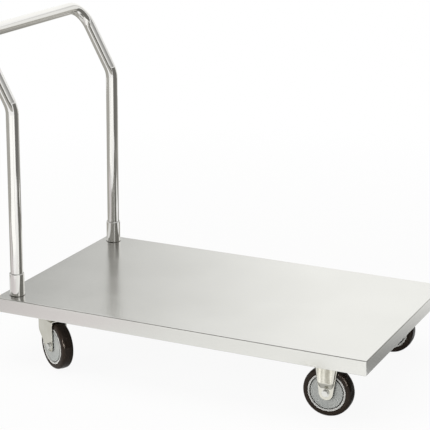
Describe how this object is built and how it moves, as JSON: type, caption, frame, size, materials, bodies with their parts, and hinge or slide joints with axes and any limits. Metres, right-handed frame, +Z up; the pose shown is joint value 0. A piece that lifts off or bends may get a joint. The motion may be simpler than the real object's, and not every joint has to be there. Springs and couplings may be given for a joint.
{
  "type": "platform trolley",
  "caption": "Flat steel platform trolley with a bent tube push handle at one end, fixed casters at the front and swivel casters at the handle end.",
  "frame": {"origin": "on the floor, below the middle of the overall length and width", "axes": "+X to the front end (away from the handle), +Y to the left of someone at the handle, +Z up"},
  "size_m": [1.071, 0.6, 0.8595],
  "materials": {
    "deck_steel": "brushed",
    "tube_steel": "polished",
    "fastener_steel": "bright zinc",
    "caster_zinc": "bright zinc",
    "bearing_steel": "ground",
    "tyre_rubber": "satin moulded",
    "core_plastic": "moulded"
  },
  "bodies": {
    "chassis": {"deck_sheet": "deck_steel", "front_cross_channel": "deck_steel", "rear_cross_channel": "deck_steel", "left_stiffener": "deck_steel", "right_stiffener": "deck_steel", "left_backing_plate": "deck_steel", "right_backing_plate": "deck_steel", "handle_tube": "tube_steel", "left_socket": "tube_steel", "right_socket": "tube_steel", "handle_plugs": "tube_steel", "handle_washers": "fastener_steel", "handle_bolts": "fastener_steel", "caster_washers": "fastener_steel", "caster_bolts": "fastener_steel", "caster_weld_nuts": "fastener_steel", "front_left_bracket": "caster_zinc", "front_left_axle_bolt": "fastener_steel", "front_left_axle_nut": "fastener_steel", "front_left_axle_sleeve": "bearing_steel", "rear_left_top_plate": "caster_zinc", "rear_left_king_pin": "bearing_steel", "rear_left_bearing_balls": "bearing_steel", "rear_left_dust_ring": "caster_zinc", "front_right_bracket": "caster_zinc", "front_right_axle_bolt": "fastener_steel", "front_right_axle_nut": "fastener_steel", "front_right_axle_sleeve": "bearing_steel", "rear_right_top_plate": "caster_zinc", "rear_right_king_pin": "bearing_steel", "rear_right_bearing_balls": "bearing_steel", "rear_right_dust_ring": "caster_zinc"},
    "rear_left_swivel": {"rear_left_fork": "caster_zinc", "rear_left_axle_bolt": "fastener_steel", "rear_left_axle_nut": "fastener_steel", "rear_left_axle_sleeve": "bearing_steel"},
    "front_left_wheel": {"front_left_tyre": "tyre_rubber", "front_left_wheel_core": "core_plastic", "front_left_bearings": "bearing_steel", "front_left_thread_guards": "core_plastic"},
    "rear_left_wheel": {"rear_left_tyre": "tyre_rubber", "rear_left_wheel_core": "core_plastic", "rear_left_bearings": "bearing_steel", "rear_left_thread_guards": "core_plastic"},
    "rear_right_swivel": {"rear_right_fork": "caster_zinc", "rear_right_axle_bolt": "fastener_steel", "rear_right_axle_nut": "fastener_steel", "rear_right_axle_sleeve": "bearing_steel"},
    "front_right_wheel": {"front_right_tyre": "tyre_rubber", "front_right_wheel_core": "core_plastic", "front_right_bearings": "bearing_steel", "front_right_thread_guards": "core_plastic"},
    "rear_right_wheel": {"rear_right_tyre": "tyre_rubber", "rear_right_wheel_core": "core_plastic", "rear_right_bearings": "bearing_steel", "rear_right_thread_guards": "core_plastic"}
  },
  "joints": [
    {"name": "rear_left_swivel_turn", "type": "hinge", "parent": "chassis", "child": "rear_left_swivel", "pos_m": [-0.345, 0.234, 0.13], "axis": [0, 0, 1], "continuous": true},
    {"name": "front_left_wheel_spin", "type": "hinge", "parent": "chassis", "child": "front_left_wheel", "pos_m": [0.4205, 0.2315, 0.0625], "axis": [0, 1, 0], "continuous": true},
    {"name": "rear_left_wheel_spin", "type": "hinge", "parent": "rear_left_swivel", "child": "rear_left_wheel", "pos_m": [-0.31023, 0.21227, 0.0625], "axis": [0.5299, 0.848, 0], "continuous": true},
    {"name": "rear_right_swivel_turn", "type": "hinge", "parent": "chassis", "child": "rear_right_swivel", "pos_m": [-0.345, -0.234, 0.13], "axis": [0, 0, 1], "continuous": true},
    {"name": "front_right_wheel_spin", "type": "hinge", "parent": "chassis", "child": "front_right_wheel", "pos_m": [0.4205, -0.2315, 0.0625], "axis": [0, 1, 0], "continuous": true},
    {"name": "rear_right_wheel_spin", "type": "hinge", "parent": "rear_right_swivel", "child": "rear_right_wheel", "pos_m": [-0.31023, -0.25573, 0.0625], "axis": [0.5299, 0.848, 0], "continuous": true}
  ]
}
